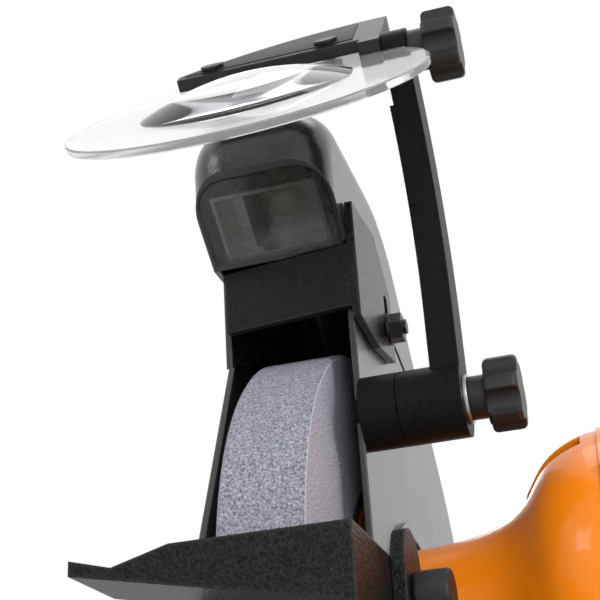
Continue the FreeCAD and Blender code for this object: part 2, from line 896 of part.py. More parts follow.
def in_disc_plane(shape):
    shape.Placement = disc_place()
    return shape


def make_disc():
    disc = Part.makeCylinder(disc_r, disc_t, V(disc_x, -disc_drop, disc_lift - disc_t), Z_AXIS)
    disc = disc.makeFillet(disc_t / 5, [e for e in disc.Edges if len(e.Vertexes) == 1])
    notch_x, notch_s = clamp_block_x - trim_gap, -eye_r - disc_notch_room
    notch = Part.makeBox(disc_r, disc_r, 4 * disc_t, V(notch_x, notch_s, -disc_t))
    holes = [post_z(clamp_screw_r + trim_gap, x, clamp_screw_s, -disc_r, disc_r) for x in clamp_screw_xs]
    return in_disc_plane(trim(disc, [notch] + holes))


def make_magnifier():
    ball_r = (magnifier_r ** 2 + magnifier_h ** 2) / (2 * magnifier_h)
    ball = Part.makeSphere(ball_r, V(disc_x, -disc_drop, disc_lift + magnifier_h - ball_r))
    keep = post_z(magnifier_r + over, disc_x, -disc_drop, disc_lift, disc_lift + magnifier_h + over)
    return in_disc_plane(ball.common(keep))


def make_clamp():
    """D-shaped plate on the disc, thicker at its bowed edge, with a block at one end for the pivot stud."""
    base = disc_lift + slide_gap
    start, end = V(clamp_left, clamp_front, base), V(clamp_right, clamp_front, base)
    far = V(clamp_right, clamp_front + clamp_deep, base)
    nose = V(clamp_left, clamp_front + clamp_nose * clamp_deep, base)
    bow_x = clamp_left + clamp_bow_along * (clamp_right - clamp_left)
    bow = V(bow_x, clamp_front + clamp_bow_deep * clamp_deep, base)
    wire = Part.Wire([Part.makeLine(start, end), Part.makeLine(end, far), Part.Arc(far, bow, nose).toShape(),
                      Part.makeLine(nose, start)])
    plate = Part.Face(wire).extrude(V(0, 0, 3 * clamp_t))
    above = Part.makeBox(4 * disc_r, 4 * disc_r, 6 * clamp_t, V(-2 * disc_r, 0, 0))
    above.rotate(V(0, 0, 0), X_AXIS, clamp_wedge)
    above.translate(V(0, clamp_front, base + clamp_t))
    lug = Part.makeBox(clamp_right - clamp_block_x, 2 * clamp_block_half, clamp_block_half + base + clamp_t,
                       V(clamp_block_x, -clamp_block_half, -clamp_block_half))
    plate = plate.cut(above)
    holes = [post_z(clamp_screw_r + press_gap, x, clamp_screw_s, -disc_r, disc_r) for x in clamp_screw_xs]
    holes.append(cyl_x(tilt_stud_r + run_gap, clamp_block_x + clamp_bore_floor, clamp_right + over))
    return in_disc_plane(trim(join([plate, lug]), holes))


def make_clamp_screws():
    """Slotted screws through plate and disc, each with a round nut under the disc."""
    wedge = (clamp_screw_s - clamp_front + 2 * clamp_screw_r) * math.tan(math.radians(clamp_wedge))
    seat = disc_lift + slide_gap + clamp_t + wedge
    under = disc_lift - disc_t
    low = under - clamp_t
    screws = []
    for x in clamp_screw_xs:
        head = post_z(2 * clamp_screw_r, x, clamp_screw_s, seat, seat + clamp_head_t)
        slot = block(x - 2 * clamp_screw_r, x + 2 * clamp_screw_r, clamp_screw_s - clamp_slot_w / 2,
                     clamp_screw_s + clamp_slot_w / 2, seat + clamp_slot_floor, seat + clamp_head_t + over)
        shank = post_z(clamp_screw_r, x, clamp_screw_s, low, seat)
        nut = post_z(2 * clamp_screw_r, x, clamp_screw_s, low, under - clamp_nut_gap)
        screws.append(in_disc_plane(join([head.cut(slot), shank, nut])))
    return screws


# Tool rest

def make_tool_rest(grooved):
    rear = -rest_rear
    wedge = [V(rest_left, rest_front, rest_left_low), V(rest_right, rest_front, rest_right_low),
             V(rest_right, rest_front, rest_top), V(rest_left, rest_front, rest_top)]
    table = Part.Face(Part.makePolygon(wedge + wedge[:1])).extrude(V(0, rear - rest_front, 0))
    leg_end = leg_slot_back + rest_leg_end
    leg = block(leg_x, rest_right, rest_front, leg_end, rest_right_low, rest_top)
    slot = block(leg_x - over, rest_right + over, leg_slot_front, leg_slot_back,
                 rest_pivot_z - slot_half, rest_pivot_z + slot_half)
    rest = join([table, leg]).cut(slot)
    if not grooved:
        return rest
    ahead = rest_front - over
    notch = [V(groove_x - groove_half, ahead, rest_top), V(groove_x, ahead, rest_top - groove_depth),
             V(groove_x + groove_half, ahead, rest_top)]
    return rest.cut(Part.Face(Part.makePolygon(notch + notch[:1])).extrude(V(0, rear - ahead + over, 0)))


def make_rest_nut():
    """Tee nut: the stem fills the slot of the rest, the head lies behind it, the stud screws in."""
    y, z = rest_pivot_y, rest_pivot_z
    tall = slot_half - slide_gap
    stem = block(leg_x - turn_gap, rest_right, y - nut_block_half, y + nut_block_half, z - tall, z + tall)
    head_x = leg_x - turn_gap
    half = nut_head_half
    head = block(head_x - nut_head_t, head_x, y - half, y + half, z - half, z + half)
    bore = cyl_x(tilt_stud_r + run_gap, head_x - nut_head_t - over, rest_right + over, y, z)
    return join([stem, head]).cut(bore)


def make_rest_bracket():
    y, z = rest_pivot_y, rest_pivot_z
    lug_out = lug_x + bracket_t
    shelf_low = bracket_shelf - bracket_t
    foot_out = guard_half + bracket_t
    front = y - lug_half
    lug = join([cyl_x(lug_half, lug_x, lug_out, y, z + lug_rise),
                block(lug_x, lug_out, front, y + lug_half, shelf_low, z + lug_rise)])
    shelf = block(guard_half, lug_out, front, bracket_back, shelf_low, bracket_shelf)
    foot = block(guard_half, foot_out, mouth_y + bracket_set_back, bracket_back,
                 shelf_low - bracket_foot, bracket_shelf)
    hole_r = bracket_bolt_r + press_gap
    holes = [cyl_x(hole_r, guard_half - over, foot_out + over, *spot) for spot in bracket_bolt_spots()]
    stud_hole = cyl_x(tilt_stud_r + run_gap, lug_x - over, lug_out + over, y, z)
    return trim(join([lug, shelf, foot]), holes + [stud_hole])


def make_bracket_bolts():
    bolts = []
    seat = guard_half + bracket_t
    nut_x = guard_in - bracket_nut_t
    for y, z in bracket_bolt_spots():
        head = hex_x(bracket_bolt_flat, seat, seat + bracket_head_t, y, z)
        bolts.append(join([head, cyl_x(bracket_bolt_r, nut_x, seat, y, z)]))
        bore = cyl_x(bracket_bolt_r + press_gap, nut_x - over, guard_in + over, y, z)
        bolts.append(hex_x(bracket_bolt_flat, nut_x, guard_in, y, z).cut(bore))
    return bolts


def make_rest_knob():
    """Round hub on the lug with a short lever that hangs down from it."""
    y, z = rest_pivot_y, rest_pivot_z
    seat = lug_x + bracket_t + slide_gap
    end = seat + rest_hub_len
    hub = cyl_x(rest_hub_r, seat, end, y, z)
    hub = hub.makeFillet(rest_hub_round, [e for e in hub.Edges if len(e.Vertexes) == 1])
    lever_x1 = end - lever_inset
    lever_x0 = lever_x1 - lever_t
    lever = join([block(lever_x0, lever_x1, y - lever_half, y + lever_half, z - lever_len, z),
                  cyl_x(lever_half, lever_x0, lever_x1, y, z - lever_len)])
    stud = cyl_x(tilt_stud_r, leg_x - turn_gap - nut_head_t + stud_short, seat + over, y, z)
    return join([hub, lever, stud])


# Base

def corner_spots():
    return [(sx * foot_x, sy * foot_y) for sx in (-1, 1) for sy in (-1, 1)]


def rect_wire(x0, x1, y0, y1, z):
    corners = [V(x0, y0, z), V(x1, y0, z), V(x1, y1, z), V(x0, y1, z)]
    return Part.makePolygon(corners + corners[:1])


def pedestal_body(inset):
    front = pedestal_front + inset
    low_x, high_x = pedestal_x - inset, pedestal_top_x - inset
    low = rect_wire(-low_x, low_x, front, pedestal_back - inset, base_top - base_wall)
    high = rect_wire(-high_x, high_x, front, pedestal_top_back - inset, pedestal_top)
    return Part.makeLoft([low, high], True, True)


def plate_screw_spots():
    x, y = base_x - base_wall - plate_screw_inset, base_y - base_wall - plate_screw_inset
    return [(x / 2, -y), (-x / 2, y), (-x, 0), (x, 0)]


def rounded_slab(half_x, half_y, corner, z0, z1):
    slab = block(-half_x, half_x, -half_y, half_y, z0, z1)
    uprights = [e for e in slab.Edges if abs(e.Vertexes[0].Z - e.Vertexes[1].Z) > 0.1]
    return slab.makeFillet(corner, uprights)


def make_base():
    slab = rounded_slab(base_x, base_y, base_corner, foot_h, base_top)
    slab = slab.makeFillet(base_round, [e for e in slab.Edges if abs(e.CenterOfMass.z - base_top) < 0.01])
    inner_x, inner_y, ceiling = base_x - base_wall, base_y - base_wall, base_top - base_wall
    room = rounded_slab(inner_x, inner_y, base_corner - base_wall, foot_h - over, ceiling)
    posts = [post_z(foot_r + post_wall, x, y, foot_h, ceiling + over) for x, y in corner_spots()]
    posts += [post_z(plate_post_r, x, y, foot_h + plate_t, ceiling + over) for x, y in plate_screw_spots()]
    for post in posts:
        room = room.cut(post)
    motor = cyl_x(shell_r + press_gap, -base_x, base_x, 0, shaft_height)
    jacket = cyl_x(shell_r + base_wall, -base_x, base_x, 0, shaft_height)
    hollow = pedestal_body(base_wall).cut(jacket)
    base = join([slab.cut(room), pedestal_body(0.0)])
    drain = block(-pedestal_x + base_wall, pedestal_x - base_wall, pedestal_front + base_wall,
                  pedestal_back - base_wall, ceiling - over, ceiling + over / 2)
    cutters = [motor, hollow, drain]
    cutters += [post_z(bolt_hole_r, x, y, 0, base_top + over) for x, y in corner_spots()]
    cutters += [post_z(plate_screw_r + press_gap, x, y, 0, ceiling) for x, y in plate_screw_spots()]
    for x in (-saddle_bolt_x, saddle_bolt_x):
        cutters.append(post_z(saddle_bolt_r + press_gap, x, 0, base_top, shaft_height))
    panel = pedestal_front + base_wall
    cutters.append(switch_box(switch_wall + trim_gap, pedestal_front - over, panel + over))
    cutters.append(bar_y(gland_r + press_gap, inner_y - gland_collar_t - over, base_y + over))
    return trim(base, cutters)


def make_base_plate():
    x, y = base_x - base_wall - trim_gap, base_y - base_wall - trim_gap
    plate = rounded_slab(x, y, base_corner - base_wall, foot_h, foot_h + plate_t)
    cutters = [post_z(foot_r + post_wall + trim_gap, a, b, 0, base_top) for a, b in corner_spots()]
    cutters += [post_z(plate_screw_r + press_gap, a, b, 0, base_top) for a, b in plate_screw_spots()]
    pieces = trim(plate, cutters).Solids
    return max(pieces, key=lambda piece: piece.Volume)


def make_plate_screws():
    screws = []
    for x, y in plate_screw_spots():
        head = post_z(2 * plate_screw_r, x, y, foot_h - plate_screw_r, foot_h)
        screws.append(join([head, post_z(plate_screw_r, x, y, foot_h, foot_h + plate_t + plate_screw_len)]))
    return screws


def make_feet():
    feet = []
    for x, y in corner_spots():
        foot = Part.makeCone(foot_r - foot_taper, foot_r, foot_h, V(x, y, 0), Z_AXIS)
        feet.append(foot.cut(post_z(bolt_hole_r, x, y, -over, foot_h + over)))
    return feet


def make_capacitor():
    floor = foot_h + plate_t
    can = post_z(capacitor_r, 0, capacitor_y, floor, floor + capacitor_h)
    return can.makeFillet(capacitor_round, [e for e in can.Edges if len(e.Vertexes) == 1])


def bar_y(r, y0, y1):
    """Round bar through the back wall at the cord's place."""
    return Part.makeCylinder(r, y1 - y0, V(0, y0, gland_z), Y_AXIS)


def make_gland():
    inside = base_y - base_wall - gland_collar_t
    outside = base_y + gland_collar_t
    collar = bar_y(gland_r + gland_collar, base_y, outside)
    stem = bar_y(gland_r, inside, base_y)
    sleeve = Part.makeCone(gland_r, gland_r - gland_taper, gland_len, V(0, outside, gland_z), Y_AXIS)
    return join([collar, stem, sleeve]).cut(bar_y(gland_bore, inside - over, outside + gland_len + over))


def switch_box(margin, y0, y1):
    half_x, half_z = switch_half_x + margin, switch_half_z + margin
    return block(-half_x, half_x, y0, y1, switch_z - half_z, switch_z + half_z)


def make_bezel():
    front, back = pedestal_front - switch_proud, pedestal_front + switch_deep
    rim = switch_box(switch_rim, front, pedestal_front)
    rim = rim.makeFillet(bezel_round, [e for e in rim.Edges if abs(e.CenterOfMass.y - front) < 0.01])
    box = switch_box(switch_wall, pedestal_front, back)
    pin = cyl_x(rocker_pin_r + run_gap, -switch_half_x - switch_wall, switch_half_x + switch_wall,
                pedestal_front + rocker_pivot, switch_z)
    return trim(join([rim, box]), [switch_box(0.0, front - over, back - switch_wall), pin])


def make_rocker():
    pivot_y = pedestal_front + rocker_pivot
    half_x = switch_half_x - rocker_gap
    round_r = switch_half_z - rocker_gap
    drum = cyl_x(round_r, -half_x, half_x, pivot_y, switch_z)
    middle_y = pivot_y - rocker_front + rocker_rise
    edge_y = middle_y - 2 * rocker_rise
    back_y = pivot_y + rocker_back
    top, low = switch_z + round_r + over, switch_z - round_r - over
    outline = [(middle_y, switch_z), (edge_y, top), (back_y, top), (back_y, low), (edge_y, low)]
    keep = prism_x(outline, -half_x, half_x)
    pin_end = switch_half_x + switch_wall - rocker_pin_room
    pin = cyl_x(rocker_pin_r, -pin_end, pin_end, pivot_y, switch_z)
    return join([drum.common(keep), pin])


# Both wheel ends share one set of shapes, the right one mirrored.
both = {
    "wheel": make_wheel(), "guard_shell": make_guard_shell(), "guard_cover": make_guard_cover(),
    "end_bell": make_end_bell(),
    "spark_arrestor": make_arrestor(), "shield_arm": make_arm(), "arm_knob": make_arm_knob(),
    "shield_clamp": make_clamp(), "shield_disc": make_disc(), "tilt_knob": make_tilt_knob(),
    "rest_nut": make_rest_nut(), "rest_knob": make_rest_knob(),
}
for name, shape in both.items():
    save("left_" + name, left(shape))
    save("right_" + name, right(shape))

shared = {
    "wheel_labels": make_labels(), "wheel_flanges": make_wheel_flanges(), "spindle_nuts": [make_wheel_nut()],
    "bearings": [make_bearing()], "lamp_lenses": [make_lens()], "rest_brackets": [make_rest_bracket()],
    "guard_screws": make_guard_screws(), "cover_screws": make_cover_screws(),
    "shell_screws": make_shell_screws(),
    "lamp_reflectors": [make_tray()], "lamp_bulbs": [make_bulb()], "lamp_sockets": [make_socket()],
    "arrestor_bolts": make_arrestor_bolt(), "bracket_bolts": make_bracket_bolts(),
    "shield_bosses": [make_boss()], "arm_washers": [make_arm_washer()],
}
for name, solids in shared.items():
    save(name, *[left(s) for s in solids], *[right(s) for s in solids])

save("left_tool_rest", left(make_tool_rest(True)))
save("right_tool_rest", right(make_tool_rest(False)))
save("left_magnifier_lens", left(make_magnifier()))
save("left_clamp_screws", *[left(s) for s in make_clamp_screws()])
save("right_clamp_screws", *[right(s) for s in make_clamp_screws()])

save("rotor_shaft", make_shaft())
save("rotor_core", make_rotor_core())
save("cooling_fan", make_fan())
save("motor_shell", make_motor_shell())
save("stator_core", make_stator_core())
save("stator_coils", *make_coils())
save("saddle_bolts", *make_saddle_bolts())
save("base_casting", make_base())
save("base_plate", make_base_plate())
save("base_screws", *make_plate_screws())
save("rubber_feet", *make_feet())
save("capacitor", make_capacitor())
save("cord_gland", make_gland())
save("switch_bezel", make_bezel())
save("switch_rocker", make_rocker())
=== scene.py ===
import json
import math

import bpy
from mathutils import Matrix, Vector


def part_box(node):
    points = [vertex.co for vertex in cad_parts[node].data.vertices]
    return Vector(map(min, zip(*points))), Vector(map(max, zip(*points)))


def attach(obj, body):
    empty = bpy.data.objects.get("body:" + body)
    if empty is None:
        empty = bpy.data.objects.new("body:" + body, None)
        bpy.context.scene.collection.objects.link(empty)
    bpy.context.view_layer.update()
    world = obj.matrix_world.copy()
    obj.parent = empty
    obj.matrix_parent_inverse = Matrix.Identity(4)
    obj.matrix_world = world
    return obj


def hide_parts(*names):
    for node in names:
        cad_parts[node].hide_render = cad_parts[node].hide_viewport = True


bl_info = {
    "name": "Bench grinder",
    "version": (1, 0, 0),
    "blender": (4, 5, 0),
    "location": "View3D > Sidebar > Grinder",
    "description": "Finishes and studio stage for a bench grinder with lamps and eye shields",
    "category": "Object",
}

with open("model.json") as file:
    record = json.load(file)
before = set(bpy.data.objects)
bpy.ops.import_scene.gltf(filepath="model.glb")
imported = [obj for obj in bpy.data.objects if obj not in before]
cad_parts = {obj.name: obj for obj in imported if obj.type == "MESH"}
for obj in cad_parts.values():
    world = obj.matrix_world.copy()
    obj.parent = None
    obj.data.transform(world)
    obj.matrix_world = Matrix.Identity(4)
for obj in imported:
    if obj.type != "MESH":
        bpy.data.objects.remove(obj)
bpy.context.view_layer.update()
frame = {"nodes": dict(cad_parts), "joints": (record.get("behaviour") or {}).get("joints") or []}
NODES = frame["nodes"]
SIDES = ("left", "right")
SIDE_SIGNS = (("left", 1.0), ("right", -1.0))
MM = 0.001

# Places on the part that the added pieces and the patterns are fitted to
WHEEL_X = 130 * MM
WHEEL_FLANK = 9.8 * MM
ARRESTOR_LEG_X = 111.9 * MM
SHIELD_TILT = math.radians(43.0)
SMOOTH_ANGLE = math.radians(35)

DISC_REACH = 33 * MM
DISC_TOP = 2.6 * MM
DOME_RADIUS = 25 * MM
DOME_RISE = 5 * MM
DOME_LIFT = 0.08 * MM

CLAMP_OUTLINE = (Vector((-17.0, 3.2, 0)) * MM, Vector((4.3, 14.2, 0)) * MM, Vector((36.3, 19.1, 0)) * MM)
CLAMP_FACE = (0, -0.5 * MM, 5.66 * MM)
CLAMP_SLOPE = math.radians(7.0)
INLAY_MARGIN = 2.0 * MM
INLAY_END = 29.0 * MM
INLAY_DEPTH = 0.3 * MM
INLAY_EDGE = 0.12 * MM

LENS_MIDDLE = (-45 * MM, 213 * MM)
LENS_TILT = math.radians(180.0 - 38.0)
# Dark fin in the lamp tray that paints the band of shade beside the bulb
SHADE_FIN_PLACE = (4.6 * MM, 11.0 * MM, -6.2 * MM)
SHADE_FIN_SIZE = (2.2 * MM, 15.0 * MM, 7.2 * MM)
SHADE_FIN_EDGE = 0.5 * MM

# Wear on sharp edges, and on the housing a painted highlight there
WEAR_AND_HIGHLIGHT_RADIUS = 1.2 * MM
WEAR_AND_HIGHLIGHT_GAIN = 6.0
EDGE_SAMPLES = 4

# Grains and pits of the wrinkle coat to the metre
WRINKLE_GRAIN = 1500.0
WRINKLE_PITS = 1100.0

LABEL_RIM_R = 37.5 * MM
LABEL_RING_R = (27.5 * MM, 28.5 * MM)
LAMINATIONS_PER_M = 1600.0
SWITCH_BAR_Z = (5.0 * MM, 9.5 * MM)
SWITCH_BAR_HALF = 0.7 * MM
SWITCH_RING_Z = -7.2 * MM
SWITCH_RING_R = (1.7 * MM, 2.7 * MM)

# Dark and light shade of what the finishes below don't list
SHIELD_HAZE = ((0.90, 0.905, 0.915), (0.95, 0.95, 0.955))
SWITCH_GREEN = ((0.008, 0.16, 0.03), (0.012, 0.2, 0.04))
INLAY_BLACK = ((0.045, 0.045, 0.043), (0.085, 0.085, 0.08))
MAGNIFIER_TINT = ((0.90, 0.90, 0.95), (0.97, 0.97, 0.985))
# Painted shade: the dark fin beside each bulb
SHADE_FIN_BLACK = ((0.006, 0.006, 0.006), (0.014, 0.014, 0.014))
BULB_GLASS = ((0.85, 0.84, 0.78), (0.95, 0.94, 0.9))
REFLECTOR_METAL = ((0.55, 0.55, 0.53), (0.72, 0.72, 0.7))
SOCKET_CERAMIC = ((0.62, 0.6, 0.54), (0.74, 0.72, 0.66))
OXIDE_BLACK = ((0.02, 0.02, 0.02), (0.06, 0.06, 0.058))
CORE_STEEL = ((0.16, 0.16, 0.17), (0.32, 0.32, 0.34))
COPPER_WIRE = ((0.32, 0.1, 0.035), (0.62, 0.25, 0.1))
FAN_BLACK = ((0.02, 0.02, 0.02), (0.045, 0.045, 0.045))
CAN_ALUMINIUM = ((0.6, 0.6, 0.61), (0.76, 0.76, 0.77))
FOOT_RUBBER = ((0.014, 0.014, 0.014), (0.035, 0.035, 0.034))
SWITCH_BLACK = ((0.014, 0.014, 0.014), (0.03, 0.03, 0.03))

# Plain colours
GUARD_WORN = (0.05, 0.05, 0.048, 1.0)
WRINKLE_WORN = (0.06, 0.06, 0.06, 1.0)
ARRESTOR_WORN = (0.05, 0.05, 0.05, 1.0)
LABEL_INK = (0.03, 0.03, 0.03, 1.0)
SHIELD_DUST = (0.7, 0.7, 0.72, 1.0)
SWITCH_MARK = (0.85, 0.85, 0.85, 1.0)
WHITE = (1.0, 1.0, 1.0, 1.0)

# Stage
FLOOR_RADIUS = 1.6
FLOOR_Z = -0.2 * MM
SURROUND_LIGHT = 0.7
SENSOR_WIDTH = 36.0
CLIP_START = 0.01
CAMERA_AHEAD = Vector((-0.23501, 0.87377, 0.42580))
CAMERA_SIDE = Vector((0.95632, 0.28621, -0.05953))
# Name, place, target, width and height in metres, share of the key light's power
SOFT_BOXES = (
    ("key_box", (-1.3, -1.3, 1.5), (-0.1, 0.0, 0.2), (0.6, 0.6), 0.7),
    ("front_box", (0.55, -1.85, 0.5), (-0.08, 0.0, 0.16), (0.45, 0.6), 0.9),
    ("side_box", (1.5, -1.55, 0.6), (-0.08, 0.0, 0.14), (0.36, 0.9), 1.6),
    ("top_box", (0.0, 0.45, 2.0), (-0.05, 0.0, 0.15), (1.1, 0.8), 0.6),
    ("back_box", (-0.9, 1.7, 0.9), (0.0, 0.0, 0.15), (0.8, 0.8), 0.6),
)


# Shader maths

class Ink:
    """A socket that can be used in sums; each sum adds a Math node to its tree."""

    def __init__(self, paint, socket):
        self.paint = paint
        self.socket = socket

    def sum(self, operation, first, second=0.0, clamp=False):
        settings = {"operation": operation, "use_clamp": clamp}
        made = self.paint.node("ShaderNodeMath", settings, {0: first, 1: second})
        return Ink(self.paint, made.outputs[0])

    def __add__(self, other):
        return self.sum("ADD", self, other)

    def __radd__(self, other):
        return self.sum("ADD", other, self)

    def __sub__(self, other):
        return self.sum("SUBTRACT", self, other)

    def __rsub__(self, other):
        return self.sum("SUBTRACT", other, self)

    def __mul__(self, other):
        return self.sum("MULTIPLY", self, other)

    def __rmul__(self, other):
        return self.sum("MULTIPLY", other, self)

    def above(self, limit):
        return self.sum("GREATER_THAN", self, limit)

    def below(self, limit):
        return self.sum("LESS_THAN", self, limit)

    def clamped(self):
        return self.sum("ADD", self, 0.0, True)


class Paint:
    """One material on the Principled shader, with Object coordinates for its patterns."""

    def __init__(self, name, **constants):
        self.material = bpy.data.materials.new(name)
        self.material.use_nodes = True
        self.tree = self.material.node_tree
        self.shader = self.tree.nodes["Principled BSDF"]
        self.place = self.node("ShaderNodeTexCoord").outputs["Object"]
        for socket, value in constants.items():
            self.shader.inputs[socket.replace("_", " ")].default_value = value

    def node(self, kind, settings=None, sockets=None):
        made = self.tree.nodes.new(kind)
        for key, value in (settings or {}).items():
            if key == "stops":
                self.set_stops(made.color_ramp, value)
            else:
                setattr(made, key, value)
        for key, value in (sockets or {}).items():
            self.feed(made.inputs[key], value)
        return made

    def set_stops(self, ramp, stops):
        while len(ramp.elements) < len(stops):
            ramp.elements.new(0.5)
        for element, (position, shade) in zip(ramp.elements, stops):
            element.position = position
            element.color = shade if len(shade) == 4 else (*shade, 1.0)

    def feed(self, socket, value):
        if isinstance(value, Ink):
            self.tree.links.new(value.socket, socket)
        elif isinstance(value, bpy.types.NodeSocket):
            self.tree.links.new(value, socket)
        else:
            socket.default_value = value

    def ink(self, socket):
        return Ink(self, socket)

    def axes(self):
        made = self.node("ShaderNodeSeparateXYZ", None, {"Vector": self.place})
        return [self.ink(made.outputs[k]) for k in range(3)]

    def noise(self, scale, detail=4.0, roughness=0.55, distortion=0.0):
        made = self.node("ShaderNodeTexNoise", None, {
            "Vector": self.place, "Scale": scale, "Detail": detail,
            "Roughness": roughness, "Distortion": distortion})
        return self.ink(made.outputs[0])

    def cells(self, scale):
        made = self.node("ShaderNodeTexVoronoi", {"feature": "F1"}, {"Vector": self.place, "Scale": scale})
        return self.ink(made.outputs["Distance"])

    def ramp(self, factor, stops):
        return self.node("ShaderNodeValToRGB", {"stops": stops}, {"Fac": factor}).outputs["Color"]

    def tones(self, factor, dark, light, low=0.3, high=0.7):
        """Colour that runs from one shade to another as the factor rises from low to high."""
        return self.ramp(factor, [(low, dark), (high, light)])

    def mix(self, factor, first, second):
        made = self.node("ShaderNodeMix", {"data_type": "RGBA"}, {"Factor": factor, 6: first, 7: second})
        return made.outputs[2]

    def soft_edge(self, radius):
        return self.node("ShaderNodeBevel", {"samples": EDGE_SAMPLES}, {"Radius": radius}).outputs["Normal"]

    def bump(self, height, strength, distance, edge=None):
        sockets = {"Height": height, "Strength": strength, "Distance": distance}
        if edge:
            sockets["Normal"] = self.soft_edge(edge)
        made = self.node("ShaderNodeBump", None, sockets)
        self.feed(self.shader.inputs["Normal"], made.outputs["Normal"])

    def colour(self, value):
        self.feed(self.shader.inputs["Base Color"], value)

    def rough(self, value):
        self.feed(self.shader.inputs["Roughness"], value)

    def edge_wear_and_highlight(self):
        """Mask that rises where the surface bends sharply."""
        flat = self.node("ShaderNodeNewGeometry").outputs["Normal"]
        turned = self.node("ShaderNodeVectorMath", {"operation": "DOT_PRODUCT"},
                           {0: self.soft_edge(WEAR_AND_HIGHLIGHT_RADIUS), 1: flat})
        return (1.0 - self.ink(turned.outputs["Value"])) * WEAR_AND_HIGHLIGHT_GAIN


def dress(paint, *names):
    for name in names:
        data = NODES[name].data
        data.materials.clear()
        data.materials.append(paint.material)


def rgba(colour):
    return (*colour, 1.0)


def shaded(colour, factor):
    return (*(min(1.0, c * factor) for c in colour), 1.0)


# Modelling helpers

def clear_selection():
    if bpy.context.object and bpy.context.object.mode != "OBJECT":
        bpy.ops.object.mode_set(mode="OBJECT")
    bpy.ops.object.select_all(action="DESELECT")


def settle(piece, name, body, paint, matrix):
    """Gives a finished piece its name, place, finish and body."""
    piece.name = name
    piece.data.name = name
    piece.matrix_world = matrix
    clear_selection()
    piece.select_set(True)
    bpy.context.view_layer.objects.active = piece
    bpy.ops.object.transform_apply(location=True, rotation=True, scale=True)
    bpy.ops.object.shade_smooth_by_angle(angle=SMOOTH_ANGLE)
    piece.data.materials.clear()
    piece.data.materials.append(paint.material)
    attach(piece, body)


def apply_all(piece):
    for modifier in list(piece.modifiers):
        bpy.ops.object.modifier_apply(modifier=modifier.name)


def joint(name):
    return next(j for j in frame["joints"] if j["name"] == name)


def circle_through(first, second, third):
    """Middle and radius of the flat circle through three points."""
    a, b = second - first, third - first
    twice = 2 * (a.x * b.y - a.y * b.x)
    middle = first + Vector((b.y * a.length_squared - a.y * b.length_squared,
                             a.x * b.length_squared - b.x * a.length_squared, 0)) / twice
    return middle, (middle - first).length


# What a user would change

def colour_prop(name, default, description):
    return bpy.props.FloatVectorProperty(
        name=name, description=description, default=default, size=3, min=0.0, max=1.0, subtype="COLOR")


class GrinderFinish(bpy.types.PropertyGroup):
    housing: colour_prop("Housing", (0.95, 0.24, 0.004), "Gloss paint of the motor housing and base")
    guard: colour_prop("Guard", (0.010, 0.010, 0.0095), "Semi-gloss paint of guards and covers")
    wrinkle: colour_prop("Wrinkle coat", (0.006, 0.006, 0.0065), "Textured coat of arrestors and rests")
    arm: colour_prop("Arm", (0.007, 0.007, 0.0067), "Satin black of arms, bosses and knobs")
    stone: colour_prop("Wheel", (0.30, 0.305, 0.357), "Mean colour of the abrasive")
    label: colour_prop("Label", (0.80, 0.21, 0.015), "Paper label on the wheel")
    lamp: colour_prop("Lamp lens", (0.05, 0.055, 0.046), "Smoked plastic over the lamp")
    steel: colour_prop("Steel", (0.62, 0.62, 0.63), "Zinc-plated hardware")
    grain: bpy.props.FloatProperty(
        name="Grain size", description="Size of one abrasive grain",
        default=0.0006, min=0.0001, max=0.01, unit="LENGTH")
    edge: bpy.props.FloatProperty(
        name="Edge softness", description="Rounding that paint gives to sharp edges",
        default=0.0007, min=0.0, max=0.01, unit="LENGTH")


class GrinderStage(bpy.types.PropertyGroup):
    eye: bpy.props.FloatVectorProperty(
        name="Camera place", description="Where the photographer stood",
        default=(-0.04906, -0.32952, 0.06212), subtype="TRANSLATION", unit="LENGTH")
    lens: bpy.props.FloatProperty(
        name="Focal length", description="Lens on a 36 mm wide sensor, in millimetres",
        default=77.9, min=10.0)
    floor: colour_prop("Floor", (0.82, 0.82, 0.82), "Plain pale floor")
    key: bpy.props.FloatProperty(
        name="Key light", description="Power that the soft boxes take their shares of, in watts",
        default=9.2, min=0.0)


# Finishes

class GRINDER_OT_housing(bpy.types.Operator):
    """Glossy orange paint on the motor shell, end bells and base, with a painted highlight on sharp edges
    """
    bl_idname = "grinder.housing"
    bl_label = "Housing paint"

    def execute(self, context):
        finish = context.scene.grinder_finish
        paint = Paint("housing_orange", Coat_Weight=0.3, Coat_Roughness=0.05, Specular_IOR_Level=0.2)
        patches = paint.noise(18.0, detail=3.0)
        edge_highlight = paint.edge_wear_and_highlight()
        body = paint.tones(patches, shaded(finish.housing, 0.94), shaded(finish.housing, 1.04))
        # Sharp edges turn a lighter orange: a painted highlight, not wear
        paint.colour(paint.mix((edge_highlight * 0.25).clamped(), body, shaded(finish.housing, 1.35)))
        paint.rough(0.22 + paint.noise(90.0) * 0.12)
        paint.bump(paint.noise(420.0, detail=2.0), strength=0.05, distance=0.0004, edge=finish.edge)
        dress(paint, "left_end_bell", "right_end_bell", "motor_shell", "base_casting")
        return {"FINISHED"}


class GRINDER_OT_guards(bpy.types.Operator):
    """Semi-gloss black paint on the guard shells and covers"""
    bl_idname = "grinder.guards"
    bl_label = "Guard paint"

    def execute(self, context):
        finish = context.scene.grinder_finish
        paint = Paint("guard_black", Coat_Weight=0.25, Coat_Roughness=0.2, Specular_IOR_Level=0.55)
        specks = paint.noise(700.0, detail=3.0)
        body = paint.tones(specks, shaded(finish.guard, 0.7), shaded(finish.guard, 1.25), low=0.35)
        paint.colour(paint.mix((paint.edge_wear_and_highlight() * 0.2).clamped(), body, GUARD_WORN))
        paint.rough(0.2 + paint.noise(60.0) * 0.08 + specks * 0.05)
        paint.bump(specks, strength=0.12, distance=0.0003, edge=finish.edge)
        dress(paint, *[side + part for side in SIDES for part in ("_guard_shell", "_guard_cover")])
        return {"FINISHED"}


